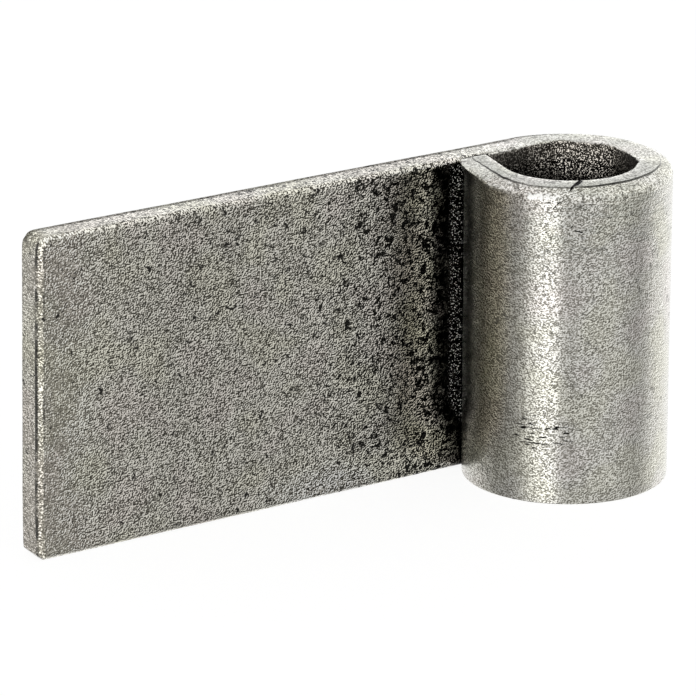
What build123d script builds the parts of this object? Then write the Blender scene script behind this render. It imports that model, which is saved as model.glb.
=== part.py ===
from build123d import *
import os
from math import cos, radians, sin, tan

# Weld-on hinge half: one flat bar, sheared to length and rolled at one end into an eye.
# The origin is the middle of the eye's bore, and +Z runs up the pivot axis.
# The flat leaf lies towards -X. Its back, which is laid on a gate frame, faces +Y and runs
# flush into the outside of the eye, and the eye rolls forward, towards -Y.

# Flat bar, millimetres
bar_width = 40.0
bar_thickness = 4.5

# Leaf, from the pivot axis to the sheared free end, and the corners of that end
axis_to_free_end = 71.0
free_end_corner_radius = 1.5

# Bore of the eye, a free fit on a 16 mm pin
bore_diameter = 16.5

# The inside of the last of the bar stays unbent in the rolling and leans from square to the leaf. Its
# outside curves on, so it thins towards a tip that stops at a hairline seam in front of the leaf
tail_lean_degrees = 13.0
tail_tip_thickness = 3.0
tail_tip_round = 0.4
seam_gap = 0.15

# The rolling draws the outer part of the eye's upper edge down into a shallow cone. The cone's axis
# lies off the pivot axis, on this bearing from +X, so the drawn edge fades out at the back of the eye
drawn_edge_offset = 1.0
drawn_edge_bearing_degrees = 60.0
drawn_edge_slope_degrees = 24.0

# Tumbled edges: on the back of the leaf and the outside of the eye, then on the front and in the bore
outer_edge_round = 1.0
inner_edge_round = 0.6

# Radii, planes and angles that follow from these sizes
bore_radius = bore_diameter / 2
eye_radius = bore_radius + bar_thickness
front_face_y = bore_radius
back_face_y = eye_radius
mid_thickness_y = (front_face_y + back_face_y) / 2
tail_tip_y = front_face_y - seam_gap
upper_edge_z = bar_width / 2
edge_heights = (-upper_edge_z, upper_edge_z)
tail_lean = radians(tail_lean_degrees)
bend_end_degrees = 180.0 - tail_lean_degrees
mid_bend_degrees = (90.0 + bend_end_degrees - 360.0) / 2


def on_circle(radius, degrees):
    return (radius * cos(radians(degrees)), radius * sin(radians(degrees)))


def rounded(solid, plan_point, heights, radius):
    # Rounds the edges through this plan point, with the edges that run on smoothly from them
    edges = [solid.edges().sort_by_distance(Vector(*plan_point, z))[0] for z in heights]
    return fillet(edges, radius)


def leaf():
    mid_leaf_x = -axis_to_free_end / 2
    plate = Pos(mid_leaf_x, mid_thickness_y, 0) * Box(axis_to_free_end, bar_thickness, bar_width)
    free_end = (-axis_to_free_end, mid_thickness_y)
    plate = rounded(plate, free_end, edge_heights, free_end_corner_radius)
    plate = rounded(plate, (mid_leaf_x, back_face_y), edge_heights, outer_edge_round)
    return rounded(plate, (mid_leaf_x, front_face_y), edge_heights, inner_edge_round)


def tail_tip():
    # Outer and inner corner of the tail's tip, both in the plane of the seam
    bend_end_x, bend_end_y = on_circle(bore_radius, bend_end_degrees)
    inner_x = bend_end_x + (tail_tip_y - bend_end_y) * tan(tail_lean)
    outer_x = inner_x - tail_tip_thickness / cos(tail_lean)
    return (outer_x, tail_tip_y), (inner_x, tail_tip_y)


def eye_outline():
    # The roll seen from above: a little over three quarters of a turn, then the short tail
    tip_outer, tip_inner = tail_tip()
    bend_end_outer = on_circle(eye_radius, bend_end_degrees)
    bend_end_inner = on_circle(bore_radius, bend_end_degrees)
    mid_bend_outer = on_circle(eye_radius, mid_bend_degrees)
    mid_bend_inner = on_circle(bore_radius, mid_bend_degrees)
    return Wire(
        [
            ThreePointArc((0, back_face_y), mid_bend_outer, bend_end_outer),
            TangentArc(bend_end_outer, tip_outer, tangent=(sin(tail_lean), cos(tail_lean))),
            Line(tip_outer, tip_inner),
            Line(tip_inner, bend_end_inner),
            ThreePointArc(bend_end_inner, mid_bend_inner, (0, front_face_y)),
            Line((0, front_face_y), (0, back_face_y)),
        ]
    )


def drawn_edge_cutter():
    # A ring over the eye, with the cone as its underside
    slope = tan(radians(drawn_edge_slope_degrees))
    centre_x, centre_y = on_circle(drawn_edge_offset, drawn_edge_bearing_degrees)
    start_x = centre_x + eye_radius - drawn_edge_offset
    width = 2 * drawn_edge_offset + bar_thickness
    ring_top_z = upper_edge_z + slope * drawn_edge_offset
    section = Polyline(
        (start_x - drawn_edge_offset, centre_y, ring_top_z),
        (start_x + width, centre_y, upper_edge_z - slope * width),
        (start_x + width, centre_y, ring_top_z),
        close=True,
    )
    return revolve(make_face(section), axis=Axis((centre_x, centre_y, 0), (0, 0, 1)))


def rolled_eye():
    eye = extrude(make_face(eye_outline()), upper_edge_z, both=True)
    eye = rounded(eye, on_circle(eye_radius, mid_bend_degrees), edge_heights, outer_edge_round)
    eye = rounded(eye, on_circle(bore_radius, mid_bend_degrees), edge_heights, inner_edge_round)
    eye = rounded(eye, tail_tip()[0], (0,), tail_tip_round)
    return eye - drawn_edge_cutter()


os.makedirs("parts", exist_ok=True)
hinge_leaf = leaf() + rolled_eye()
export_step(hinge_leaf, "parts/hinge_leaf.step")
print("hinge_leaf solids", len(hinge_leaf.solids()), "volume mm3", round(hinge_leaf.volume, 1))
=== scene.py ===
import math
import bpy
import bmesh
from mathutils import Matrix, Vector, noise


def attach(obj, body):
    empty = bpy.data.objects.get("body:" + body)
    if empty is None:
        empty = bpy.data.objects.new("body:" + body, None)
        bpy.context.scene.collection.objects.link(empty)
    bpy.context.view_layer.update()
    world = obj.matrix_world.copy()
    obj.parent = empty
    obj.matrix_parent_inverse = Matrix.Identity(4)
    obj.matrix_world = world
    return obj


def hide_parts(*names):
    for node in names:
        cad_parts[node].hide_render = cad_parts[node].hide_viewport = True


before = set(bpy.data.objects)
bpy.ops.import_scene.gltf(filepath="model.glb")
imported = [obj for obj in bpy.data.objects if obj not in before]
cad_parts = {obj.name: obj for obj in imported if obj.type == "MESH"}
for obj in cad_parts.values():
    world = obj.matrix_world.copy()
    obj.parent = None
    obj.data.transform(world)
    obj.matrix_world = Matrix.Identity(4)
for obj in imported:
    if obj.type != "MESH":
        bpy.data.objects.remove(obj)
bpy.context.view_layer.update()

mm = 0.001
scene = bpy.context.scene
scene.view_settings.view_transform = "Standard"
print("frame loaded")

# the photographer's place
cameraView = {
    "eye": (-0.38133, -0.51214, 0.20793),
    "aim": (-0.03251, 0.0, 0.00196),
    "lens": 281.73,
    "rollDegrees": 0.143,
}


def placeCamera(view):
    lensData = bpy.data.cameras.new("photoCamera")
    lensData.sensor_width = 36.0
    lensData.lens = view["lens"]
    lensData.clip_start = 0.01
    lensData.clip_end = 20.0
    camera = bpy.data.objects.new("photoCamera", lensData)
    eye = Vector(view["eye"])
    look = (Vector(view["aim"]) - eye).to_track_quat("-Z", "Y").to_matrix().to_4x4()
    roll = Matrix.Rotation(math.radians(view["rollDegrees"]), 4, "Z")
    camera.matrix_world = Matrix.Translation(eye) @ look @ roll
    scene.collection.objects.link(camera)
    scene.camera = camera


placeCamera(cameraView)
print("camera placed")

# the rolled bar, sizes in millimetres and degrees
rolledBar = {
    "halfWidth": 20.0,
    "boreRadius": 8.25,
    "eyeRadius": 12.75,
    "leafEnd": -71.0,
    "bendDegrees": 283.0,
    "tailLean": 13.0,
    "tailReach": 7.6,
    "seamPlane": 8.10,
    "outerRound": 1.0,
    "innerRound": 0.8,
    "roundSegments": 6,
    "endChamfer": 0.72,
    "tipRound": 0.12,
    "heightCuts": 84,
    "leafCuts": 150,
    "bendSteps": 140,
    "tailCuts": 12,
    # loops across the bar's edge faces, the close three carry the drawn line
    "edgeLoops": (9.35, 9.7, 10.05, 10.4, 10.63, 10.75, 10.79, 11.0, 11.35),
    "lineLoop": 10.75,
    # the free end is not quite square: rounds above, rounds below from front to back, lean of its top,
    # and where that lean starts along the leaf and in height
    "topCorner": 1.7,
    "lowCorners": (0.3, 1.6),
    "endSlant": 0.55,
    "slantStart": -14.0,
    "slantBase": -12.0,
    # the lip at the tail's top corner: its size, and where it grows in height and towards the seam
    "tailLip": 0.6,
    "lipHeight": (18.2, 20.0),
    "lipReach": (3.0, 8.0),
    # the line where the outer half of the eye's top is drawn in: degrees of turn from the leaf, radius
    "drawnLine": ((0, 12.4), (40, 12.0), (90, 11.75), (109, 11.5), (126, 11.2), (142, 10.9),
                  (161, 10.6), (187, 10.5), (207, 10.85), (222, 11.25), (240, 11.4), (250, 11.1),
                  (261, 10.65), (275, 10.3), (298, 10.35), (313, 10.7), (330, 10.8)),
    # how dark that line is painted as shade in its crease, by degrees of turn
    "lineLevel": ((0, 0.0), (80, 0.0), (110, 0.7), (150, 0.75), (190, 0.85), (203, 0.8), (212, 0.58),
                  (245, 0.55), (255, 0.7), (264, 0.95), (330, 1.0)),
    # how far the outer top corner has sunk, by degrees of turn
    "drawnSink": ((0, 0.0), (60, 0.12), (90, 0.3), (113, 0.4), (140, 0.65), (160, 0.75), (200, 0.8),
                  (222, 0.85), (240, 0.8), (257, 0.74), (265, 0.7), (271, 0.33), (278, 0.03),
                  (288, 0.0), (330, 0.0)),
    "sinkHeight": (13.5, 19.0),  # heights from none of it to all of it
    # how much darker the drawn half of the top is, by degrees of turn
    "bandShade": ((0, 0.0), (100, 0.0), (135, 0.3), (180, 0.05), (245, 0.0), (262, 0.3), (300, 0.6),
                  (330, 0.6)),
    # the small step along the drawn line: its start, its depth, the heights it grows over, its fading
    "stepStart": (85, 135),
    "lineStep": 0.15,
    "stepHeight": (16.0, 19.0),
    "stepFade": (266, 278),
    # edge rounding by degrees of turn, before 0 is the leaf
    "topInnerRound": ((-20, 0.65), (5, 0.25), (280, 0.2), (330, 0.2)),
    "topOuterRound": ((-20, 0.95), (30, 0.8), (110, 0.6), (200, 0.5), (270, 0.3), (330, 0.25)),
    "lowInnerRound": ((-20, 0.7), (10, 0.3), (330, 0.3)),
    "lowOuterRound": ((-20, 0.9), (15, 0.5), (40, 0.22), (330, 0.2)),
    # how far the bore's upper rim is chipped back, by degrees of turn
    "rimChips": ((-40, 0.0), (8, 0.05), (19, 0.4), (30, 0.9), (38, 0.8), (46, 0.15), (53, 0.05),
                 (61, 0.4), (68, 0.7), (76, 0.45), (86, 0.1), (97, 0.0), (110, 0.1), (124, 0.25),
                 (136, 0.0), (330, 0.0)),
    # its raggedness and where that fades, where chips start, the heights they grow over, their reach
    "rimRagged": 0.22,
    "raggedFade": (110, 150),
    "chipStart": -45,
    "chipHeight": (4.0, 19.9),
    "chipReach": 2.2,
    # nick across the front of the ring, from the bore outwards: ends, half widths, depth, lowest height
    "nickEnds": ((-3.9, -7.6), (-6.6, -9.3)),
    "nickHalfWidths": (0.28, 0.07),
    "nickDepth": 0.1,
    "nickAbove": 18.6,
    "waviness": ((9.0, 0.030), (2.2, 0.010)),  # lengths and depths
    # where the finish and the painted light and shade change: along the bar from the root, across it as a
    # radius, in height, or in degrees of turn for the back rim's end and the strip's start
    "wearAndHighlightEdge": (0.25, 0.75),  # distances from an edge
    "eyeStart": (-14.0, -3.0),
    "boreStart": (-10.0, -8.0),
    "boreSkin": (8.28, 8.5),
    "topFace": (18.9, 19.3),
    "backRim": (11.05, 11.3),
    "backRimEnd": (10, 50),
    "dirtAndShadeRun": (-36.0, -9.7),
    "dirtAndShadeTop": (19.2, 19.9),
    "dirtAndShadeLow": (-10, -18),
    "dirtAndShadeSeam": (-9.0, -7.8),
    "seamShadow": ((-10.6, -9.9), (-6.2, -5.6), (8.6, 8.75)),
    "filmAndShadeHeight": (-20, -9),
    "stripStart": (125, 168),
    "stripInside": 9.1,
    # brownish film dragged along the eye's flank, partly painted shade, by degrees of turn
    "flankFilm": ((0, 0.0), (228, 0.0), (246, 0.4), (258, 0.85), (269, 0.88), (279, 0.38), (288, 0.0),
                  (330, 0.0)),
    # how well the light gets into the bore, by degrees of turn
    "boreLight": ((-60, 0.3), (-10, 0.35), (12, 0.6), (35, 1.0), (66, 0.95), (86, 0.4), (102, 0.2),
                  (115, 0.1), (330, 0.1)),
    # what each point of the mesh tells the steel
    "marks": ("backEdge", "boreLight", "boreWall", "darkMark", "drawnLine", "edgeWear", "endLine",
              "flankFilm", "rolledEye", "rootDirt", "topShade"),
}


def ringEdges(bm, verts):
    members = set(verts)
    return [e for e in bm.edges if e.verts[0] in members and e.verts[1] in members]


def barSection(bm, bar):
    # one face across the bar, corners rounded, then only its rim is kept
    low, high, half = bar["boreRadius"] * mm, bar["eyeRadius"] * mm, bar["halfWidth"] * mm
    corners = [bm.verts.new((0, y, z)) for y, z in ((low, -half), (high, -half), (high, half), (low, half))]
    bmesh.ops.contextual_create(bm, geom=corners)
    inner = [v for v in bm.verts if v.co.y < low + 1e-6]
    bmesh.ops.bevel(bm, geom=inner, offset=bar["innerRound"] * mm, offset_type="OFFSET",
                    segments=bar["roundSegments"], profile=0.5, affect="VERTICES", material=-1)
    outer = [v for v in bm.verts if v.co.y > high - 1e-6 and abs(v.co.z) > half - 1e-6]
    bmesh.ops.bevel(bm, geom=outer, offset=bar["outerRound"] * mm, offset_type="OFFSET",
                    segments=bar["roundSegments"], profile=0.5, affect="VERTICES", material=-1)
    bmesh.ops.delete(bm, geom=bm.faces[:], context="FACES_ONLY")
    upright = [e for e in bm.edges if abs(e.verts[0].co.z - e.verts[1].co.z) > 10 * mm]
    across = [e for e in bm.edges if abs(e.verts[0].co.y - e.verts[1].co.y) > 2 * mm]
    bmesh.ops.subdivide_edges(bm, edges=upright, cuts=bar["heightCuts"])
    for edge in across:
        made = bmesh.ops.subdivide_edges(bm, edges=[edge], cuts=len(bar["edgeLoops"]))
        fresh = [g for g in made["geom_inner"] if isinstance(g, bmesh.types.BMVert)]
        for v, y in zip(sorted(fresh, key=lambda v: v.co.y), bar["edgeLoops"]):
            v.co.y = y * mm


def leafRun(bm, bar):
    # straight run to the free end, capped and chamfered before it is divided
    made = bmesh.ops.extrude_edge_only(bm, edges=bm.edges[:])
    endVerts = [g for g in made["geom"] if isinstance(g, bmesh.types.BMVert)]
    bmesh.ops.translate(bm, verts=endVerts, vec=(bar["leafEnd"] * mm, 0, 0))
    endEdges = ringEdges(bm, endVerts)
    bmesh.ops.edgeloop_fill(bm, edges=endEdges)
    cut = bmesh.ops.bevel(bm, geom=endEdges, offset=bar["endChamfer"] * mm, offset_type="OFFSET",
                          segments=1, profile=0.5, affect="EDGES", material=-1)
    chamfer = set(cut["faces"])
    for edge in set(e for f in chamfer for e in f.edges):
        if not chamfer.issuperset(edge.link_faces):
            edge.smooth = False
    runs = [e for e in bm.edges if abs(e.verts[0].co.x - e.verts[1].co.x) > 10 * mm]
    bmesh.ops.subdivide_edges(bm, edges=runs, cuts=bar["leafCuts"], use_grid_fill=True)


def eyeBend(bm, bar):
    # the eye is spun round the pivot line from the leaf's last section
    root = [v for v in bm.verts if abs(v.co.x) < 1e-7]
    spun = bmesh.ops.spin(bm, geom=root + ringEdges(bm, root), cent=(0, 0, 0), axis=(0, 0, 1),
                          angle=-math.radians(bar["bendDegrees"]), steps=bar["bendSteps"],
                          use_merge=False, use_duplicate=False)
    return [g for g in spun["geom_last"] if isinstance(g, bmesh.types.BMEdge)]


def tailRun(bm, bar, lastEdges):
    # short straight tail, cut along the seam
    lean = math.radians(bar["tailLean"])
    heading = Vector((math.sin(lean), math.cos(lean), 0))
    made = bmesh.ops.extrude_edge_only(bm, edges=lastEdges)
    tipVerts = [g for g in made["geom"] if isinstance(g, bmesh.types.BMVert)]
    bmesh.ops.translate(bm, verts=tipVerts, vec=heading * bar["tailReach"] * mm)
    tailEdges = set(e for v in tipVerts for e in v.link_edges)
    tailFaces = set(f for v in tipVerts for f in v.link_faces)
    tailVerts = set(v for f in tailFaces for v in f.verts)
    cut = bmesh.ops.bisect_plane(bm, geom=list(tailVerts) + list(tailEdges) + list(tailFaces),
                                 plane_co=(0, bar["seamPlane"] * mm, 0), plane_no=(0, 1, 0),
                                 clear_outer=True)
    tipEdges = [g for g in cut["geom_cut"] if isinstance(g, bmesh.types.BMEdge)]
    bmesh.ops.edgeloop_fill(bm, edges=tipEdges)
    bmesh.ops.bevel(bm, geom=tipEdges, offset=bar["tipRound"] * mm, offset_type="OFFSET",
                    segments=3, profile=0.5, affect="EDGES", material=-1)

    def alongTail(e):
        # the tail's long level edges between two quads
        a, b = e.verts[0].co, e.verts[1].co
        level = e.calc_length() > 3 * mm and abs(a.z - b.z) < 1 * mm
        inTail = a.x < -5 * mm and min(a.y, b.y) < 7 * mm
        return level and inTail and len(e.link_faces) == 2 and max(len(f.verts) for f in e.link_faces) == 4

    runs = [e for e in bm.edges if alongTail(e)]
    bmesh.ops.subdivide_edges(bm, edges=runs, cuts=bar["tailCuts"], use_grid_fill=True)


def barPlace(co, bar):
    # where a point lies on the bar: millimetres along it from the root, and across it as a radius
    lean = math.radians(bar["tailLean"])
    x, y = co.x / mm, co.y / mm
    middle = (bar["eyeRadius"] + bar["boreRadius"]) / 2
    if x <= 0 and y > bar["boreRadius"] - 0.07:
        return x, y
    ahead = x * math.sin(lean) + y * math.cos(lean)
    outward = -x * math.cos(lean) + y * math.sin(lean)
    if ahead > 0 and outward > 5:
        return math.radians(bar["bendDegrees"]) * middle + ahead, outward
    turn = (math.pi / 2 - math.atan2(y, x)) % (2 * math.pi)
    return turn * middle, math.hypot(x, y)


def smoothStep(low, high, value):
    share = min(1.0, max(0.0, (value - low) / (high - low)))
    return share * share * (3 - 2 * share)


def alongTable(table, value):
    for (a, levelA), (b, levelB) in zip(table, table[1:]):
        if value <= b:
            share = smoothStep(a, b, value)
            return levelA + (levelB - levelA) * share
    return table[-1][1]


def softenEndCorners(bm, bar):
    # the free end's corners are drawn back to a quarter round, then its top leans back
    front, back = bar["lowCorners"]
    for v in bm.verts:
        depth = (v.co.y / mm - bar["boreRadius"]) / (bar["eyeRadius"] - bar["boreRadius"])
        reach = bar["topCorner"] if v.co.z > 0 else front + (back - front) * min(1.0, max(0.0, depth))
        a = reach - (v.co.x / mm - bar["leafEnd"])
        b = reach - (bar["halfWidth"] - abs(v.co.z) / mm)
        if a > 0 and b > 0:
            pull = 1 - max(a, b) / math.hypot(a, b)
            v.co.x += pull * a * mm
            v.co.z -= math.copysign(pull * b * mm, v.co.z)
        share = max(0.0, (v.co.x / mm - bar["slantStart"]) / (bar["leafEnd"] - bar["slantStart"]))
        rise = max(0.0, (v.co.z / mm - bar["slantBase"]) / (bar["halfWidth"] - bar["slantBase"]))
        v.co.x += bar["endSlant"] * share * rise * mm


def barTurn(along, bar):
    # degrees round the pivot from the leaf, the leaf itself counts backwards
    middle = (bar["eyeRadius"] + bar["boreRadius"]) / 2
    return math.degrees(along / middle)


def acrossWay(v, along, bar):
    # the direction from the bore's side of the bar to its outside, along the seam on the tail
    if along <= 0:
        return Vector((0, 1, 0))
    if barTurn(along, bar) > bar["bendDegrees"]:
        return Vector((-1 / math.cos(math.radians(bar["tailLean"])), 0, 0))
    return Vector((v.co.x, v.co.y, 0)).normalized()


def tightenEdges(bm, bar, places):
    # the eye's edges are crisper than the leaf's, so the rounding shrinks towards the tail
    half = bar["halfWidth"]
    for v in bm.verts:
        along, across = places[v]
        z = v.co.z / mm
        turn = barTurn(along, bar)
        inner = across < bar["boreRadius"] + bar["innerRound"] + 0.001
        outer = across > bar["eyeRadius"] - bar["outerRound"] - 0.001
        made = bar["innerRound"] if inner else bar["outerRound"]
        if not (inner or outer) or abs(z) < half - made - 0.001:
            continue
        if z > 0:
            wanted = alongTable(bar["topInnerRound" if inner else "topOuterRound"], turn)
        else:
            wanted = alongTable(bar["lowInnerRound" if inner else "lowOuterRound"], turn)
        upShare = (abs(z) - (half - made)) / made
        if inner:
            sideShare = (bar["boreRadius"] + made - across) / made
            moved = bar["boreRadius"] + wanted - sideShare * wanted
        else:
            sideShare = (across - (bar["eyeRadius"] - made)) / made
            moved = bar["eyeRadius"] - wanted + sideShare * wanted
        v.co += acrossWay(v, along, bar) * (moved - across) * mm
        v.co.z = math.copysign(half - wanted + upShare * wanted, z) * mm
        places[v] = (along, moved)


def shapeTopEdge(bm, bar, places):
    # the outer half of the eye's top sinks towards the outside, with a small step where it starts
    line = bm.verts.layers.float["drawnLine"]
    inside = bar["boreRadius"] + bar["innerRound"]
    outside = bar["eyeRadius"] - bar["outerRound"]
    for v in bm.verts:
        z = v.co.z / mm
        along, across = places[v]
        if z < bar["sinkHeight"][0] or along < 0:
            continue
        turn = barTurn(along, bar)
        lineAt = alongTable(bar["drawnLine"], turn)
        slideTo = min(lineAt, outside - 0.25)
        slope = alongTable(bar["drawnSink"], turn) / (bar["eyeRadius"] - lineAt)
        onTop = z > bar["halfWidth"] - 0.01
        onLine = onTop and -0.01 < across - bar["lineLoop"] < 0.05
        pastLine = across - bar["lineLoop"] > 0.01
        if onTop and inside < across < outside:
            if across <= bar["lineLoop"]:
                moved = inside + (across - inside) * (slideTo - inside) / (bar["lineLoop"] - inside)
            else:
                moved = outside - (outside - across) * (outside - slideTo) / (outside - bar["lineLoop"])
            v.co += acrossWay(v, along, bar) * (moved - across) * mm
            across = moved
            places[v] = (along, moved)
        sink = slope * max(0.0, across - lineAt) * smoothStep(*bar["sinkHeight"], z)
        if pastLine:
            step = smoothStep(*bar["stepStart"], turn) * (1 - 0.7 * smoothStep(*bar["stepFade"], turn))
            sink += bar["lineStep"] * step * smoothStep(*bar["stepHeight"], z)
        if onLine:
            v[line] = alongTable(bar["lineLevel"], turn)
        v.co.z -= sink * mm


def chipBoreRim(bm, bar, places):
    # the bore's upper rim is chipped back at the far side and slightly ragged all round
    for v in bm.verts:
        z = v.co.z / mm
        along, across = places[v]
        turn = barTurn(along, bar)
        off = across - bar["boreRadius"]
        if z < bar["chipHeight"][0] or off > bar["chipReach"] or turn < bar["chipStart"]:
            continue
        down = smoothStep(*bar["chipHeight"], z)
        near = 1 - off / bar["chipReach"]
        coarse = noise.noise(Vector((along * 0.9, 4.3, 1.7)))
        fine = noise.noise(Vector((along * 2.1, 8.1, 0.3)))
        backward = 1 - 0.75 * smoothStep(*bar["raggedFade"], turn)
        chip = alongTable(bar["rimChips"], turn) + (coarse + 0.7 * fine) * bar["rimRagged"] * backward
        v.co += acrossWay(v, along, bar) * chip * down * near * mm


def curveTail(bm, bar):
    # the tail's outside curves on round the pivot, so it thins towards the seam, with a lip at its top
    lean = math.radians(bar["tailLean"])
    for v in bm.verts:
        x, y = v.co.x / mm, v.co.y / mm
        ahead = x * math.sin(lean) + y * math.cos(lean)
        outward = -x * math.cos(lean) + y * math.sin(lean)
        if y > bar["seamPlane"] + 0.01 or ahead < 0 or outward < 5:
            continue
        inner = (y * math.sin(lean) - bar["boreRadius"]) / math.cos(lean)
        straight = (y * math.sin(lean) - bar["eyeRadius"]) / math.cos(lean)
        lip = bar["tailLip"] * smoothStep(*bar["lipHeight"], v.co.z / mm) * smoothStep(*bar["lipReach"], y)
        curved = -math.sqrt(bar["eyeRadius"] ** 2 - y ** 2) - lip
        share = (x - inner) / (straight - inner)
        v.co.x = (inner + share * (curved - inner)) * mm


def waveSurface(bm, bar):
    # rolled stock is never quite flat
    bm.normal_update()
    moves = []
    for v in bm.verts:
        co = v.co / mm
        lift = 0.0
        for length, depth in bar["waviness"]:
            lift += depth * noise.noise(co / length + Vector((length, 0, 3)))
        moves.append(v.normal * lift * mm)
    for v, move in zip(bm.verts, moves):
        v.co += move


def cutNick(bm, bar):
    # three cuts across the ring's top, then the middle one is pressed in
    start, end = (Vector((x, y, 0)) for x, y in bar["nickEnds"])
    run = (end - start).length
    course = (end - start).normalized()
    aside = Vector((-course.y, course.x, 0))

    def fromStart(place):
        # height, distance along the nick and distance beside it
        off = place / mm - start
        return place.z / mm, off.dot(course), off.dot(aside)

    def nearTop():
        faces = []
        for f in bm.faces:
            height, ahead, beside = fromStart(f.calc_center_median())
            if height > bar["nickAbove"] and -0.6 < ahead < run + 0.3 and abs(beside) < 0.9:
                faces.append(f)
        edges = set(e for f in faces for e in f.edges)
        points = set(v for f in faces for v in f.verts)
        return faces + list(edges) + list(points)

    for side in (-1, 0, 1):
        a = start + aside * side * bar["nickHalfWidths"][0]
        b = end + aside * side * bar["nickHalfWidths"][1]
        way = (b - a).normalized()
        bmesh.ops.bisect_plane(bm, geom=nearTop(), plane_co=a * mm, plane_no=(-way.y, way.x, 0))
    for v in bm.verts:
        height, ahead, beside = fromStart(v.co)
        if height > bar["nickAbove"] and -0.6 < ahead < run and abs(beside) < 0.012:
            v.co.z -= bar["nickDepth"] * (1 - 0.75 * max(0, ahead) / run) * mm


def markFinishAndShade(bm, bar, places):
    # what the finish and the painted light and shade follow, worked out before the edges are shaped
    marks = {name: bm.verts.layers.float[name] for name in bar["marks"]}
    bore, outside, half = bar["boreRadius"], bar["eyeRadius"], bar["halfWidth"]
    dirtAndShadeFrom, dirtAndShadeTo = bar["dirtAndShadeRun"]
    seamStart, seamEnd, seamFace = bar["seamShadow"]
    for v in bm.verts:
        along, across = places[v]
        turn = barTurn(along, bar)
        z = v.co.z / mm
        onTop = smoothStep(*bar["topFace"], z)
        fromFace = min(across - bore, outside - across)
        fromEnd = v.co.x / mm - bar["leafEnd"] if along < 0 else half
        nearest = sorted((fromFace, half - abs(z), fromEnd))
        # edges lighter: partly wear, partly a painted highlight along the rounded edges
        v[marks["edgeWear"]] = 1 - smoothStep(*bar["wearAndHighlightEdge"], nearest[1])
        v[marks["rolledEye"]] = smoothStep(*bar["eyeStart"], along)
        skin = 1 - smoothStep(*bar["boreSkin"], across)
        v[marks["boreWall"]] = smoothStep(*bar["boreStart"], along) * skin
        v[marks["boreLight"]] = alongTable(bar["boreLight"], turn)
        # painted shade: the top's back rim is dulled dark, as a bevel seen edge-on
        rim = smoothStep(*bar["backRim"], across) * (1 - smoothStep(*bar["backRimEnd"], turn))
        v[marks["backEdge"]] = rim * onTop
        # the root corner darkens towards the seam: dirt and painted shade together
        if along < 0 and across < bore + 1.2:
            dirt = max(0.0, (along - dirtAndShadeFrom) / (dirtAndShadeTo - dirtAndShadeFrom))
            dirt *= 1 - smoothStep(*bar["dirtAndShadeTop"], z)
            dirt *= 1 - 0.14 * smoothStep(*bar["dirtAndShadeLow"], z)
            v[marks["rootDirt"]] = dirt * (1 - 0.8 * smoothStep(*bar["dirtAndShadeSeam"], along))
            behindTail = smoothStep(*seamStart, along) * (1 - smoothStep(*seamEnd, along))
            v[marks["darkMark"]] = behindTail * onTop * (1 - smoothStep(*seamFace, across))
            fromChamfer = abs(v.co.x / mm - bar["leafEnd"] - bar["endChamfer"])
            v[marks["endLine"]] = 1.0 if fromChamfer < 0.01 and across < bore + 0.01 else 0.0
        # the flank's brownish film, partly painted shade
        if along > 0 and across > outside - 0.6:
            filmAndShade = alongTable(bar["flankFilm"], turn)
            v[marks["flankFilm"]] = filmAndShade * (0.35 + 0.65 * smoothStep(*bar["filmAndShadeHeight"], z))
        if along > 0 and z > half - 0.01 and bar["stripInside"] < across < bar["lineLoop"] + 0.01:
            v[marks["topShade"]] = 0.1 + 0.9 * smoothStep(*bar["stripStart"], turn)
        if along > 0 and z > half - bar["outerRound"] - 0.01 and across > bar["lineLoop"] + 0.01:
            v[marks["topShade"]] = alongTable(bar["bandShade"], turn)


def buildRolledBar(bar):
    bm = bmesh.new()
    barSection(bm, bar)
    leafRun(bm, bar)
    lastEdges = eyeBend(bm, bar)
    tailRun(bm, bar, lastEdges)
    bmesh.ops.remove_doubles(bm, verts=bm.verts[:], dist=0.002 * mm)
    bmesh.ops.recalc_face_normals(bm, faces=bm.faces[:])
    print("bar rolled:", len(bm.verts), "points", len(bm.faces), "faces")
    for name in bar["marks"]:
        bm.verts.layers.float.new(name)
    places = {v: barPlace(v.co, bar) for v in bm.verts}
    markFinishAndShade(bm, bar, places)
    softenEndCorners(bm, bar)
    tightenEdges(bm, bar, places)
    shapeTopEdge(bm, bar, places)
    chipBoreRim(bm, bar, places)
    curveTail(bm, bar)
    waveSurface(bm, bar)
    cutNick(bm, bar)
    print("bar worn:", len(bm.verts), "points", len(bm.faces), "faces")
    return bm


barMesh = buildRolledBar(rolledBar)
mesh = bpy.data.meshes.new("rolledBar")
barMesh.to_mesh(mesh)
openEdges = sum(1 for e in barMesh.edges if len(e.link_faces) != 2)
print("open edges:", openEdges, "volume mm3:", barMesh.calc_volume() / mm ** 3)
barMesh.free()
for poly in mesh.polygons:
    poly.use_smooth = True
hingeBar = bpy.data.objects.new("rolledBar", mesh)
scene.collection.objects.link(hingeBar)

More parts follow.
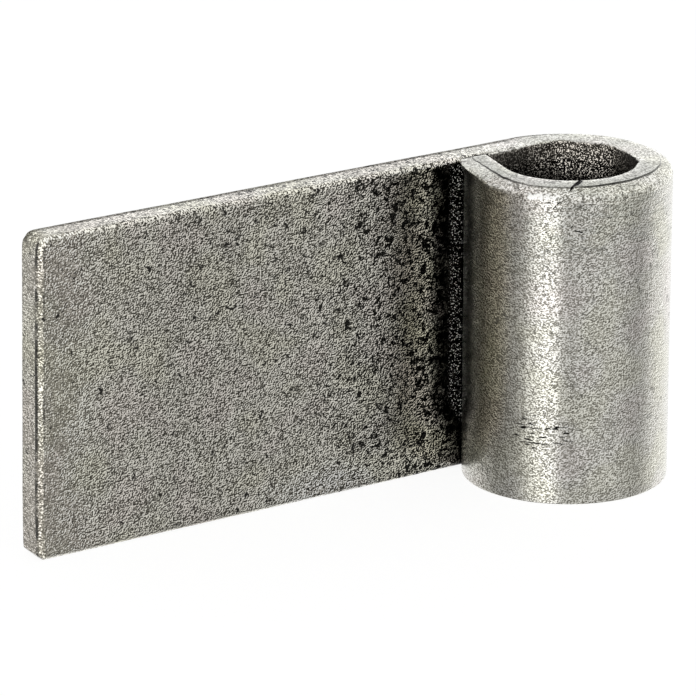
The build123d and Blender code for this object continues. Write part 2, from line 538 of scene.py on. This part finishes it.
# tumbled bare steel: places and sizes in millimetres, tones as linear colour
tumbledSteel = {
    "grainSize": 0.20,
    "embossStep": (0.022, 0.018, -0.027),
    "blotchSize": 2.4,
    "tones": ((0.00, (0.050, 0.048, 0.041)), (0.28, (0.178, 0.171, 0.149)),
              (0.50, (0.292, 0.281, 0.246)), (0.60, (0.500, 0.486, 0.434)), (0.75, (0.97, 0.96, 0.90))),
    # contrast of the grain on the far leaf, the near leaf and the eye, calmer close to the free end
    "contrasts": (4.1, 6.3, 1.5),
    "calmRun": (-71.8, -56.0),
    "calmShare": 0.40,
    "middleTone": 0.462,
    "blotchShare": 0.022,
    "leafDarkening": 0.095,
    "darkeningRun": (-71.0, -45.0),
    "eyeLift": 0.138,
    # how much lighter the edges are, partly wear and partly painted highlight
    "edgeLift": 0.16,
    # long bright strokes left by the tumbling: lean in the leaf's plane in radians, and stretch
    "strokes": ((-0.9, 2.1), (-0.3, 1.8), (-1.5, 2.0)),
    "strokeWidth": 0.26,
    "strokeRange": (0.75, 0.82),
    "strokeShare": 0.85,
    "strokeTone": (0.93, 0.92, 0.88),
    # faint patches of colour
    "patchSize": 7.0,
    "lilacTint": (1.012, 0.985, 1.005),
    "lilacRange": (0.50, 0.66),
    "oliveTint": (0.998, 1.0, 0.955),
    "oliveRange": (0.50, 0.34),
    "leafTint": (1.004, 0.991, 0.950),
    # the leaf's front from its free end to the dark corner, then low down beside that corner
    "frontTones": ((0.0, 1.10), (0.08, 1.10), (0.22, 0.98), (0.36, 0.91), (0.50, 0.92), (0.64, 0.95),
                   (0.78, 1.02), (1.0, 0.97)),
    "frontRun": (-71.0, -17.0),
    "frontFace": (9.0, 8.5),
    "lowTint": (1.15, 1.15, 1.15),
    "lowHeight": (-13.5, -18.0),
    "lowRun": (-48.0, -36.0),
    # the leaf's back, the shaded parts of the eye's top, and the film and painted shade on its flank
    "backTint": (0.62, 0.62, 0.61),
    "backFace": (11.7, 12.3),
    "backRun": (6.0, -2.0),
    "stripTone": (0.59, 0.60, 0.59),
    "filmAndShadeTint": (0.37, 0.348, 0.292),
    # the bore's wall painted dark as shade, its rim painted lighter where the light gets in, and bright
    # grains that face upwards
    "boreDark": (0.010, 0.009, 0.008),
    "boreRim": (0.24, 0.215, 0.18),
    "rimHeight": (17.0, 19.2),
    "boreBright": (0.96, 0.90, 0.80),
    "speckSize": 0.17,
    "speckRange": (0.545, 0.63),
    "speckFade": (13.8, 18.2),
    "speckDeep": 0.12,
    "grainLean": 0.8,
    # dark pits, and what makes them wider
    "pitSize": 0.95,
    "pitRange": (0.63, 0.71),
    "pitTone": (0.030, 0.029, 0.026),
    "pitHeight": (-12.0, 16.0),
    "pitRun": (-71.0, -35.0),
    "pitTopFace": (19.0, 19.6),
    "pitGains": {"height": 0.03, "freeEnd": -0.04, "topFace": 0.018, "dirt": 0.13, "eyeEdge": 0.05},
    # how much light the dark corner still gives back, dirt and painted shade together, from the open leaf
    # to the seam
    "dirtAndShadeFade": ((0.0, 1.0), (0.24, 0.81), (0.46, 0.50), (0.58, 0.34), (0.70, 0.20), (0.76, 0.14),
                 (0.81, 0.07), (0.85, 0.02), (0.88, 0.008), (1.0, 0.005)),
    # sparks beside the seam, by how dark the corner is
    "sparkSize": 0.18,
    "sparkRange": (0.64, 0.70),
    "sparkStart": (0.905, 0.94),
    "sparkEnd": (0.995, 0.985),
    "sparkTone": (0.95, 0.95, 0.92),
    # the free end's chamfer, painted darker as shade by the way it faces, and the dark lines beside it,
    # painted shade at its edges
    "chamferShadeTint": (0.90, 0.90, 0.89),
    "chamferRun": (-69.0, -69.5),
    "endLineRun": (-69.9, -70.2),
    "endLineWidth": (0.27, 0.12),
    # black of the nick, the seam and the scratches
    "darkTone": (0.008, 0.008, 0.007),
    # nick on the ring's top in plan, painted black as shade in a shallow cut: start, end, half widths
    "nick": (((-4.0, -7.75), (-5.2, -8.62), (0.34, 0.36)), ((-5.2, -8.62), (-6.7, -9.35), (0.36, 0.06))),
    "nickHeight": (18.5, 18.8),
    # scratches on the eye: start and end as bearing in degrees and height, half widths
    "scratches": (
        ((-152.3, -12.27), (-143.0, -12.25), (0.04, 0.09)),
        ((-143.0, -12.25), (-136.1, -12.3), (0.10, 0.04)),
        ((-147.6, -11.55), (-143.4, -11.45), (0.06, 0.04)),
        ((-141.5, -11.6), (-136.7, -11.25), (0.07, 0.04)),
        ((-153.7, -10.0), (-149.0, -10.1), (0.06, 0.05)),
        ((-137.4, -10.35), (-134.0, -10.1), (0.10, 0.05)),
        ((-131.3, -10.1), (-124.8, -9.95), (0.04, 0.05)),
        ((-128.0, -11.6), (-122.4, -11.9), (0.05, 0.03)),
        ((-122.7, 15.02), (-118.8, 14.78), (0.06, 0.10)),
        ((-124.9, 15.35), (-123.8, 15.62), (0.06, 0.06)),
        ((-96.2, 18.3), (-92.3, 18.6), (0.03, 0.06)),
        ((-134.7, 17.69), (-133.2, 18.05), (0.06, 0.07)),
        ((-132.4, 18.3), (-130.6, 18.62), (0.07, 0.05))),
    # short dashes around two spots of the eye: bearing, height, radius
    "scratchZones": ((-146.0, -10.7, 2.4), (-128.0, -11.0, 1.6)),
    "dashSize": 0.30,
    "dashSqueeze": 0.22,
    "dashRange": (0.63, 0.72),
    # painted highlight under the eye's upper rim, with a ragged outline
    "rimHighlight": ((-148.0, 18.95), (-131.0, 19.15), (0.34, 0.12)),
    "rimHighlightEdge": (1.35, 0.45),
    "rimHighlightRagged": 0.6,
    # fine brushing round the eye, strongest towards its top
    "brushTint": (0.82, 0.83, 0.83),
    "brushSize": 0.42,
    "brushSqueeze": 0.09,
    "brushRange": (0.42, 0.62),
    "brushHeight": (6.0, 16.0),
    # roughness of dark and bright grain, relief on the leaf and the eye, and its depth
    "roughness": (0.34, 0.20),
    "bumpStrength": (0.6, 0.4),
    "bumpDepth": 0.025,
}


def addNode(tree, kind, **settings):
    node = tree.nodes.new(kind)
    for name, value in settings.items():
        setattr(node, name, value)
    return node


def feed(tree, socket, value):
    # a number or colour goes on the socket, an output is linked to it
    if isinstance(value, bpy.types.NodeSocket):
        tree.links.new(value, socket)
    elif isinstance(value, tuple) and len(value) == 3 and len(socket.default_value) == 4:
        socket.default_value = (*value, 1)
    else:
        socket.default_value = value


def calc(tree, operation, a, b=0.0, c=0.0, clamp=False):
    node = addNode(tree, "ShaderNodeMath", operation=operation, use_clamp=clamp)
    for socket, value in zip(node.inputs, (a, b, c)):
        feed(tree, socket, value)
    return node.outputs[0]


def times(tree, a, b):
    return calc(tree, "MULTIPLY", a, b)


def vectorCalc(tree, operation, a, b):
    node = addNode(tree, "ShaderNodeVectorMath", operation=operation)
    feed(tree, node.inputs[0], a)
    feed(tree, node.inputs["Scale"] if operation == "SCALE" else node.inputs[1], b)
    return node.outputs["Value" if operation in ("DOT_PRODUCT", "DISTANCE") else "Vector"]


def blendTone(tree, share, a, b, way="MIX"):
    node = addNode(tree, "ShaderNodeMix", data_type="RGBA", blend_type=way, clamp_factor=True)
    feed(tree, node.inputs[0], share)
    feed(tree, node.inputs[6], a)
    feed(tree, node.inputs[7], b)
    return node.outputs[2]


def tinted(tree, share, colour, tint):
    return blendTone(tree, share, colour, tint, "MULTIPLY")


def remap(tree, value, low, high, toLow=0.0, toHigh=1.0, smooth=True):
    node = addNode(tree, "ShaderNodeMapRange", interpolation_type="SMOOTHSTEP" if smooth else "LINEAR")
    names = ("Value", "From Min", "From Max", "To Min", "To Max")
    for name, entry in zip(names, (value, low, high, toLow, toHigh)):
        feed(tree, node.inputs[name], entry)
    return node.outputs["Result"]


def span(tree, coordinate, places, toLow=0.0, toHigh=1.0, smooth=True):
    # a share that changes between two places on an axis
    return remap(tree, coordinate, places[0] * mm, places[1] * mm, toLow, toHigh, smooth)


def toneRamp(tree, share, stops):
    node = addNode(tree, "ShaderNodeValToRGB")
    elements = node.color_ramp.elements
    while len(elements) < len(stops):
        elements.new(0.5)
    for element, (place, level) in zip(elements, stops):
        element.position = place
        element.color = (*level, 1) if isinstance(level, tuple) else (level, level, level, 1)
    tree.links.new(share, node.inputs["Fac"])
    return node.outputs["Color"]


def grainNoise(tree, where, size, detail=2.0, rough=0.55, twist=0.0):
    node = addNode(tree, "ShaderNodeTexNoise", noise_dimensions="3D")
    feed(tree, node.inputs["Vector"], where)
    feed(tree, node.inputs["Scale"], 1 / (size * mm))
    feed(tree, node.inputs["Detail"], detail)
    feed(tree, node.inputs["Roughness"], rough)
    feed(tree, node.inputs["Distortion"], twist)
    return node.outputs["Fac"]


def surfaceMark(tree, name):
    return addNode(tree, "ShaderNodeAttribute", attribute_name=name).outputs["Fac"]


def partsOf(tree, vector):
    split = addNode(tree, "ShaderNodeSeparateXYZ")
    tree.links.new(vector, split.inputs[0])
    return split.outputs["X"], split.outputs["Y"], split.outputs["Z"]


def planePoint(tree, a, b):
    point = addNode(tree, "ShaderNodeCombineXYZ")
    tree.links.new(a, point.inputs["X"])
    tree.links.new(b, point.inputs["Y"])
    return point.outputs[0]


def squeezed(tree, where, share):
    # coordinates pressed together along their first axis, which draws marks out along it
    pressed = addNode(tree, "ShaderNodeMapping")
    pressed.inputs["Scale"].default_value = (share, 1.0, 1.0)
    tree.links.new(where, pressed.inputs["Vector"])
    return pressed.outputs[0]


def stretched(tree, where, lean, stretch):
    # coordinates drawn out along a leaning line in the leaf's plane
    turned = addNode(tree, "ShaderNodeMapping", vector_type="TEXTURE")
    turned.inputs["Rotation"].default_value = (0.0, lean, 0.0)
    turned.inputs["Scale"].default_value = (stretch, 1.0, 1.0)
    tree.links.new(where, turned.inputs["Vector"])
    return turned.outputs[0]


def inStroke(tree, spot, start, end, halfWidths, edge=(1.15, 0.75)):
    # 1 inside a tapered stroke between two points of a plane
    begin, course = Vector(start) * mm, (Vector(end) - Vector(start)) * mm
    away = vectorCalc(tree, "SUBTRACT", spot, (*begin, 0))
    share = vectorCalc(tree, "DOT_PRODUCT", away, (*(course / course.length_squared), 0))
    along = calc(tree, "ADD", share, 0.0, clamp=True)
    nearest = vectorCalc(tree, "SCALE", (*course, 0), along)
    gap = vectorCalc(tree, "DISTANCE", away, nearest)
    wide, thin = halfWidths
    reach = calc(tree, "MULTIPLY_ADD", along, (thin - wide) * mm, wide * mm)
    return remap(tree, calc(tree, "DIVIDE", gap, reach), *edge)


def eyeSpots(tree, ts, at):
    # the eye's outside laid flat: dark scratches, a painted highlight under the rim and fine brushing
    bearing = calc(tree, "ARCTAN2", at["y"], at["x"])
    roundEye = times(tree, bearing, rolledBar["eyeRadius"] * mm)
    flat = planePoint(tree, roundEye, at["z"])

    def laid(place):
        return math.radians(place[0]) * rolledBar["eyeRadius"], place[1]

    dark = 0.0
    for start, end, halfWidths in ts["scratches"]:
        dark = calc(tree, "MAXIMUM", dark, inStroke(tree, flat, laid(start), laid(end), halfWidths))
    dashes = grainNoise(tree, squeezed(tree, flat, ts["dashSqueeze"]), ts["dashSize"], 0.0, 0.5, 0.4)
    dashes = remap(tree, dashes, *ts["dashRange"])
    for turn, height, size in ts["scratchZones"]:
        middle = Vector(laid((turn, height)))
        zone = inStroke(tree, flat, middle, middle + Vector((0.01, 0)), (size, size))
        dark = calc(tree, "MAXIMUM", dark, times(tree, dashes, zone))
    start, end, halfWidths = ts["rimHighlight"]
    ragged = calc(tree, "SUBTRACT", grainNoise(tree, at["where"], ts["rimHighlightRagged"], 2.0, 0.6), 0.5)
    ruffled = planePoint(tree, roundEye, calc(tree, "MULTIPLY_ADD", ragged, 1.0 * mm, at["z"]))
    rimHighlight = inStroke(tree, ruffled, laid(start), laid(end), halfWidths, ts["rimHighlightEdge"])
    brushed = grainNoise(tree, squeezed(tree, flat, ts["brushSqueeze"]), ts["brushSize"], 2.0, 0.6)
    brushed = remap(tree, brushed, *ts["brushRange"])
    brushed = times(tree, brushed, span(tree, at["z"], ts["brushHeight"], 0.25, 1.0))
    return dark, rimHighlight, brushed


def embossed(tree, ts, where):
    # bright and dark sides of fine grain: the change of a noise over a short step, 0 on average
    step = Vector(ts["embossStep"]) * mm
    ahead = vectorCalc(tree, "ADD", where, step)
    behind = vectorCalc(tree, "ADD", where, -step)
    sides = [grainNoise(tree, place, ts["grainSize"], 0.5, 0.5) for place in (ahead, behind)]
    return calc(tree, "SUBTRACT", *sides), sides[0]


def steelTone(tree, ts, at, marks):
    # salt and pepper tone, with bright strokes over it
    where, rolled = at["where"], marks["rolledEye"]
    emboss, grain = embossed(tree, ts, where)
    blotch = grainNoise(tree, where, ts["blotchSize"], 2.0, 0.5)
    towardsEye = span(tree, at["x"], ts["darkeningRun"], smooth=False)
    farLeaf, nearLeaf, eye = ts["contrasts"]
    contrast = remap(tree, towardsEye, 0.0, 1.0, farLeaf, nearLeaf)
    contrast = remap(tree, rolled, 0.0, 1.0, contrast, eye)
    contrast = times(tree, contrast, span(tree, at["x"], ts["calmRun"], ts["calmShare"], 1.0))
    contrast = times(tree, contrast, remap(tree, blotch, 0.35, 0.65, 0.8, 1.2))
    tone = calc(tree, "MULTIPLY_ADD", calc(tree, "SUBTRACT", blotch, 0.5), ts["blotchShare"], emboss)
    tone = calc(tree, "MULTIPLY_ADD", tone, contrast, ts["middleTone"])
    tone = calc(tree, "MULTIPLY_ADD", towardsEye, -ts["leafDarkening"], tone)
    tone = calc(tree, "MULTIPLY_ADD", rolled, ts["eyeLift"] + ts["leafDarkening"], tone)
    # edges lighter, partly wear and partly painted highlight
    wornAndLit = times(tree, marks["edgeWear"], remap(tree, rolled, 0.0, 1.0, 1.0, 0.3))
    tone = calc(tree, "MULTIPLY_ADD", wornAndLit, ts["edgeLift"], tone)
    scored = 0.0
    for lean, stretch in ts["strokes"]:
        ridge = grainNoise(tree, stretched(tree, where, lean, stretch), ts["strokeWidth"], 0.0, 0.5, 0.3)
        scored = calc(tree, "MAXIMUM", scored, remap(tree, ridge, *ts["strokeRange"]))
    scored = times(tree, scored, ts["strokeShare"])
    colour = blendTone(tree, scored, toneRamp(tree, tone, ts["tones"]), ts["strokeTone"])
    return colour, emboss, grain, blotch


def tintLeaf(tree, ts, at, marks, colour):
    # faint lilac and olive patches, then the leaf's front along its length and low down
    eye = marks["rolledEye"]
    patch = grainNoise(tree, at["where"], ts["patchSize"], 1.0, 0.5)
    colour = tinted(tree, remap(tree, eye, 1.0, 0.0), colour, ts["leafTint"])
    colour = tinted(tree, remap(tree, patch, *ts["lilacRange"]), colour, ts["lilacTint"])
    colour = tinted(tree, remap(tree, patch, *ts["oliveRange"]), colour, ts["oliveTint"])
    lengthwise = toneRamp(tree, span(tree, at["x"], ts["frontRun"], smooth=False), ts["frontTones"])
    front = times(tree, span(tree, at["y"], ts["frontFace"]), remap(tree, eye, 0.2, 0.0))
    colour = tinted(tree, front, colour, lengthwise)
    low = times(tree, span(tree, at["z"], ts["lowHeight"]), span(tree, at["x"], ts["lowRun"]))
    return tinted(tree, times(tree, low, front), colour, ts["lowTint"])


def boreTone(tree, ts, at, marks, blotch):
    # a wall painted dark as shade, lighter at the rim where the light gets in, with bright grains that fade
    # with depth as painted shade
    speck = remap(tree, grainNoise(tree, at["where"], ts["speckSize"], 0.5, 0.6), *ts["speckRange"])
    deep = span(tree, at["z"], ts["speckFade"], ts["speckDeep"], 1.0)
    speck = times(tree, speck, times(tree, deep, marks["boreLight"]))
    nearRim = span(tree, at["z"], ts["rimHeight"])
    nearRim = times(tree, nearRim, remap(tree, blotch, 0.40, 0.60, 0.4, 1.0))
    nearRim = times(tree, nearRim, marks["boreLight"])
    wall = blendTone(tree, nearRim, ts["boreDark"], ts["boreRim"])
    return blendTone(tree, speck, wall, ts["boreBright"]), speck, nearRim


def pitShare(tree, ts, at, marks):
    # dark pits, thicker towards the top, the root and the eye's edges
    gains = ts["pitGains"]
    pit = grainNoise(tree, at["where"], ts["pitSize"], 2.0, 0.6, 0.8)
    reach = span(tree, at["z"], ts["pitHeight"], 0.0, gains["height"])
    reach = calc(tree, "ADD", reach, span(tree, at["x"], ts["pitRun"], gains["freeEnd"], 0.0))
    reach = calc(tree, "ADD", reach, span(tree, at["z"], ts["pitTopFace"], 0.0, gains["topFace"]))
    reach = calc(tree, "ADD", calc(tree, "MULTIPLY_ADD", marks["rootDirt"], gains["dirt"], reach), pit)
    eyeEdge = times(tree, marks["edgeWear"], marks["rolledEye"])
    pitted = remap(tree, calc(tree, "MULTIPLY_ADD", eyeEdge, gains["eyeEdge"], reach), *ts["pitRange"])
    return pit, times(tree, pitted, remap(tree, marks["rolledEye"], 0.0, 0.8, 1.0, 0.5))


def darkenCorner(tree, ts, at, marks, pit, emboss, colour):
    # the corner at the root is painted black, dirt and painted shade together; bright grains last and
    # sparks stay next to the seam
    dirt = marks["rootDirt"]
    uneven = calc(tree, "SUBTRACT", pit, 0.5)
    patchy = calc(tree, "MULTIPLY_ADD", uneven, times(tree, dirt, 0.7), dirt)
    fade = toneRamp(tree, patchy, ts["dirtAndShadeFade"])
    lasting = remap(tree, dirt, 0.79, 0.87, 0.12, 0.8)
    faded = calc(tree, "POWER", fade, remap(tree, emboss, -0.08, 0.08, 2.5, lasting))
    colour = tinted(tree, 1.0, colour, faded)
    spark = remap(tree, grainNoise(tree, at["where"], ts["sparkSize"], 0.0, 0.5), *ts["sparkRange"])
    spark = times(tree, spark, remap(tree, dirt, *ts["sparkStart"]))
    spark = times(tree, spark, remap(tree, dirt, *ts["sparkEnd"]))
    return blendTone(tree, spark, colour, ts["sparkTone"]), spark


def lineEnd(tree, ts, at, marks, blotch, colour):
    # the free end's chamfer painted darker as shade where it faces the front, with dark lines of painted
    # shade along both sides
    trueNormal = addNode(tree, "ShaderNodeNewGeometry").outputs["True Normal"]
    facing = vectorCalc(tree, "DOT_PRODUCT", trueNormal, (-0.7071, -0.7071, 0.0))
    chamfer = times(tree, remap(tree, facing, 0.90, 0.97), span(tree, at["x"], ts["chamferRun"]))
    colour = tinted(tree, chamfer, colour, ts["chamferShadeTint"])
    lineAt = (rolledBar["boreRadius"] + rolledBar["endChamfer"]) * mm
    offLine = calc(tree, "ABSOLUTE", calc(tree, "SUBTRACT", at["y"], lineAt))
    atEnd = span(tree, at["x"], ts["endLineRun"])
    outer = times(tree, span(tree, offLine, ts["endLineWidth"]), atEnd)
    outer = times(tree, outer, remap(tree, blotch, 0.36, 0.54, 0.35, 0.95))
    inner = remap(tree, marks["endLine"], 0.72, 0.95)
    inner = times(tree, inner, remap(tree, blotch, 0.40, 0.56, 0.15, 0.7))
    return blendTone(tree, calc(tree, "MAXIMUM", outer, inner), colour, ts["pitTone"])


def markEye(tree, ts, at, marks, pit, colour):
    # the drawn line, the nick, the seam behind the tail and the eye's own marks
    # the drawn line is painted dark as shade in its crease
    drawn = remap(tree, marks["drawnLine"], 0.2, 0.95, 0.0, 0.9)
    colour = blendTone(tree, drawn, colour, ts["pitTone"])
    plan = planePoint(tree, at["x"], at["y"])
    # the nick is painted black as shade in its cut
    nick = 0.0
    for start, end, halfWidths in ts["nick"]:
        nick = calc(tree, "MAXIMUM", nick, inStroke(tree, plan, start, end, halfWidths))
    nick = times(tree, nick, span(tree, at["z"], ts["nickHeight"]))
    seam = remap(tree, marks["darkMark"], 0.7, 0.95)
    scratched, rimHighlight, brushed = eyeSpots(tree, ts, at)
    outside = calc(tree, "SUBTRACT", remap(tree, marks["rolledEye"], 0.9, 1.0), marks["boreWall"])
    rimHighlight = times(tree, rimHighlight, remap(tree, pit, 0.36, 0.46))
    dark = times(tree, scratched, outside)
    dark = calc(tree, "MAXIMUM", dark, calc(tree, "MAXIMUM", nick, seam))
    colour = tinted(tree, times(tree, brushed, outside), colour, ts["brushTint"])
    # the painted highlight under the rim
    colour = blendTone(tree, times(tree, rimHighlight, outside), colour, ts["sparkTone"])
    return blendTone(tree, dark, colour, ts["darkTone"]), calc(tree, "MAXIMUM", dark, drawn)


def makeSteel(ts):
    steel = bpy.data.materials.new("tumbledSteel")
    steel.use_nodes = True
    tree = steel.node_tree
    shader = tree.nodes["Principled BSDF"]
    where = addNode(tree, "ShaderNodeTexCoord").outputs["Object"]
    x, y, z = partsOf(tree, where)
    at = {"where": where, "x": x, "y": y, "z": z}
    marks = {name: surfaceMark(tree, name) for name in rolledBar["marks"]}
    bore, eye = marks["boreWall"], marks["rolledEye"]
    colour, emboss, grain, blotch = steelTone(tree, ts, at, marks)
    colour = tintLeaf(tree, ts, at, marks, colour)
    wall, speck, nearRim = boreTone(tree, ts, at, marks, blotch)
    colour = blendTone(tree, bore, colour, wall)
    behind = times(tree, span(tree, y, ts["backFace"]), span(tree, x, ts["backRun"]))
    colour = tinted(tree, behind, colour, ts["backTint"])
    # the eye's flank darkened: brownish film and painted shade together
    colour = tinted(tree, marks["flankFilm"], colour, ts["filmAndShadeTint"])
    colour = tinted(tree, marks["topShade"], colour, ts["stripTone"])
    pit, pitted = pitShare(tree, ts, at, marks)
    colour = blendTone(tree, pitted, colour, ts["pitTone"])
    colour, spark = darkenCorner(tree, ts, at, marks, pit, emboss, colour)
    colour = lineEnd(tree, ts, at, marks, blotch, colour)
    colour, black = markEye(tree, ts, at, marks, pit, colour)
    tree.links.new(colour, shader.inputs["Base Color"])

    # pits, the bore's wall and sparks are rougher than the grain
    polish = remap(tree, emboss, -0.15, 0.15, *ts["roughness"])
    polish = calc(tree, "MULTIPLY_ADD", pitted, 0.2, polish)
    polish = calc(tree, "MULTIPLY_ADD", bore, remap(tree, speck, 0.0, 1.0, 0.2, 0.15), polish)
    polish = calc(tree, "MULTIPLY_ADD", spark, 0.5, polish, clamp=True)
    tree.links.new(polish, shader.inputs["Roughness"])

    # black places don't mirror the room: the bore's painted shade, the back edge's painted shade and the
    # dark marks
    boreShadeDull = times(tree, bore, remap(tree, calc(tree, "MAXIMUM", speck, nearRim), 0.5, 0.0))
    dull = calc(tree, "MAXIMUM", calc(tree, "MAXIMUM", marks["backEdge"], boreShadeDull), black)
    tree.links.new(calc(tree, "MULTIPLY_ADD", dull, -0.9, 1.0), shader.inputs["Metallic"])
    tree.links.new(calc(tree, "MULTIPLY_ADD", dull, -0.5, 0.5), shader.inputs["Specular IOR Level"])

    # fine relief, and bright grains in the bore that face upwards and catch the light from above
    relief = addNode(tree, "ShaderNodeBump")
    feed(tree, relief.inputs["Strength"], remap(tree, eye, 0.0, 1.0, *ts["bumpStrength"]))
    relief.inputs["Distance"].default_value = ts["bumpDepth"] * mm
    tree.links.new(calc(tree, "MULTIPLY_ADD", pitted, -0.3, grain), relief.inputs["Height"])
    upward = vectorCalc(tree, "SCALE", (0, 0, ts["grainLean"]), times(tree, bore, speck))
    tree.links.new(vectorCalc(tree, "ADD", relief.outputs[0], upward), shader.inputs["Normal"])
    return steel


steel = makeSteel(tumbledSteel)
print("steel mixed")
mesh.materials.append(steel)
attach(hingeBar, "root")
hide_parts("hinge_leaf")

# a white sweep with a darker gap where the photographer stands, as the metal mirrors it
studio = {
    "floorHeight": -20.04,
    "floorSize": 4.0,
    "floorGlow": 0.90,
    "floorShade": 0.25,
    "floorTone": 0.85,
    "fillStrength": 0.55,
    # how bright the room's top is, and how high up it starts and is whole
    "topStrength": 1.06,
    "topStart": (0.30, 0.75),
    # turn round the object in degrees from the pivot towards +X, and how bright the room is there
    "roomRing": ((0, 1.25), (28, 1.40), (60, 1.20), (124, 0.98), (150, 0.42), (172, 0.44), (184, 0.62),
                 (198, 1.30), (212, 1.46), (223, 1.46), (227, 0.60), (245, 0.66), (262, 0.74),
                 (300, 0.68), (316, 0.50), (330, 0.58), (343, 1.00)),
    # the room from low to high, as a share of the ring's level
    "roomRise": ((0.0, 0.75), (0.18, 0.90), (0.34, 0.95), (0.48, 1.38), (0.60, 1.10), (1.0, 1.10)),
}


def plainShader(tree, kind, **values):
    node = addNode(tree, kind)
    for name, value in values.items():
        feed(tree, node.inputs[name], value)
    return node.outputs[0]


def mixShaders(tree, share, a, b):
    node = addNode(tree, "ShaderNodeMixShader")
    for socket, value in zip(node.inputs, (share, a, b)):
        tree.links.new(value, socket)
    return node.outputs[0]


def layFloor(st):
    floorMesh = bmesh.new()
    bmesh.ops.create_grid(floorMesh, x_segments=1, y_segments=1, size=st["floorSize"])
    bmesh.ops.translate(floorMesh, verts=floorMesh.verts[:], vec=(0, 0, st["floorHeight"] * mm))
    floorData = bpy.data.meshes.new("floor")
    floorMesh.to_mesh(floorData)
    floorMesh.free()
    floor = bpy.data.objects.new("floor", floorData)
    scene.collection.objects.link(floor)
    floor.visible_glossy = False  # the metal mirrors the room alone
    paper = bpy.data.materials.new("floorPaper")
    paper.use_nodes = True
    tree = paper.node_tree
    tree.nodes.clear()
    # rays that show the background see the glowing paper, other rays see plain paper
    path = addNode(tree, "ShaderNodeLightPath")
    shown = calc(tree, "MAXIMUM", path.outputs["Is Camera Ray"], path.outputs["Is Glossy Ray"])
    shown = calc(tree, "MAXIMUM", shown, path.outputs["Is Transmission Ray"])
    plain = plainShader(tree, "ShaderNodeBsdfDiffuse", Color=(st["floorTone"],) * 3)
    shade = plainShader(tree, "ShaderNodeBsdfDiffuse", Color=(st["floorShade"],) * 3)
    glow = plainShader(tree, "ShaderNodeEmission", Strength=st["floorGlow"])
    both = addNode(tree, "ShaderNodeAddShader")
    tree.links.new(shade, both.inputs[0])
    tree.links.new(glow, both.inputs[1])
    out = addNode(tree, "ShaderNodeOutputMaterial")
    tree.links.new(mixShaders(tree, shown, plain, both.outputs[0]), out.inputs["Surface"])
    floorData.materials.append(paper)


def lightRoom(st):
    # mirrors show the room's ring and rise, the camera sees white, other light is an even fill
    world = bpy.data.worlds.new("studio")
    world.use_nodes = True
    scene.world = world
    tree = world.node_tree
    tree.nodes.clear()
    x, y, z = partsOf(tree, addNode(tree, "ShaderNodeTexCoord").outputs["Generated"])
    turn = remap(tree, calc(tree, "ARCTAN2", y, x), -math.pi, math.pi, smooth=False)
    stops = sorted((((a + 180) % 360) / 360, level) for a, level in st["roomRing"])
    (firstPlace, firstLevel), (lastPlace, lastLevel) = stops[0], stops[-1]
    closing = firstLevel + (lastLevel - firstLevel) * firstPlace / (firstPlace + 1 - lastPlace)
    ring = toneRamp(tree, turn, [(0.0, closing)] + stops + [(1.0, closing)])
    rise = toneRamp(tree, remap(tree, z, -1.0, 1.0, smooth=False), st["roomRise"])
    level = tinted(tree, 1.0, ring, rise)
    high = remap(tree, z, *st["topStart"], smooth=False)
    level = blendTone(tree, high, level, (st["topStrength"],) * 3)
    room = plainShader(tree, "ShaderNodeBackground", Color=level)
    fill = plainShader(tree, "ShaderNodeBackground", Strength=st["fillStrength"])
    white = plainShader(tree, "ShaderNodeBackground")
    path = addNode(tree, "ShaderNodeLightPath")
    seen = calc(tree, "MAXIMUM", path.outputs["Is Camera Ray"], path.outputs["Is Transmission Ray"])
    lit = mixShaders(tree, path.outputs["Is Glossy Ray"], fill, room)
    out = addNode(tree, "ShaderNodeOutputWorld")
    tree.links.new(mixShaders(tree, seen, lit, white), out.inputs["Surface"])


layFloor(studio)
lightRoom(studio)
print("studio lit")
